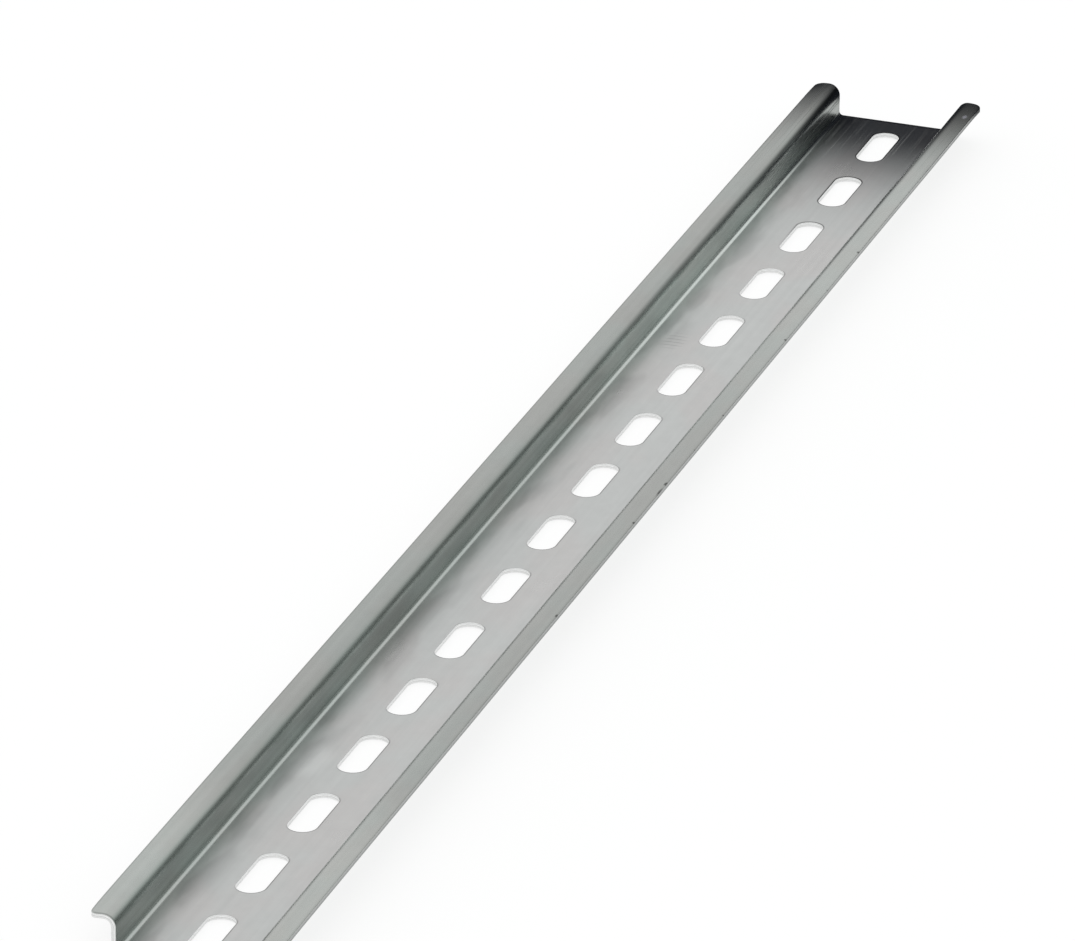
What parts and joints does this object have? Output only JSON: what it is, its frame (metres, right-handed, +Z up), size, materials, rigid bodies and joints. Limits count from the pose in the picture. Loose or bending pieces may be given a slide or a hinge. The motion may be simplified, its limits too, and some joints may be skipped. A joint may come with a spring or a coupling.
{
  "type": "top-hat mounting rail",
  "caption": "Slotted steel top-hat rail of shallow depth that electrical devices clip onto, screwed to a back plate through its slots.",
  "frame": {"origin": "middle of the rail's flat underside, the back of its web, which is the lowest face as it lies", "axes": "+X along the rail towards the end with the longer plain margin, +Y across it, +Z up out of the open channel towards the lips"},
  "size_m": [0.4, 0.035, 0.0075],
  "materials": {
    "zinc_steel": "satin bright zinc plating"
  },
  "bodies": {
    "root": {"rail": "zinc_steel"}
  },
  "joints": []
}
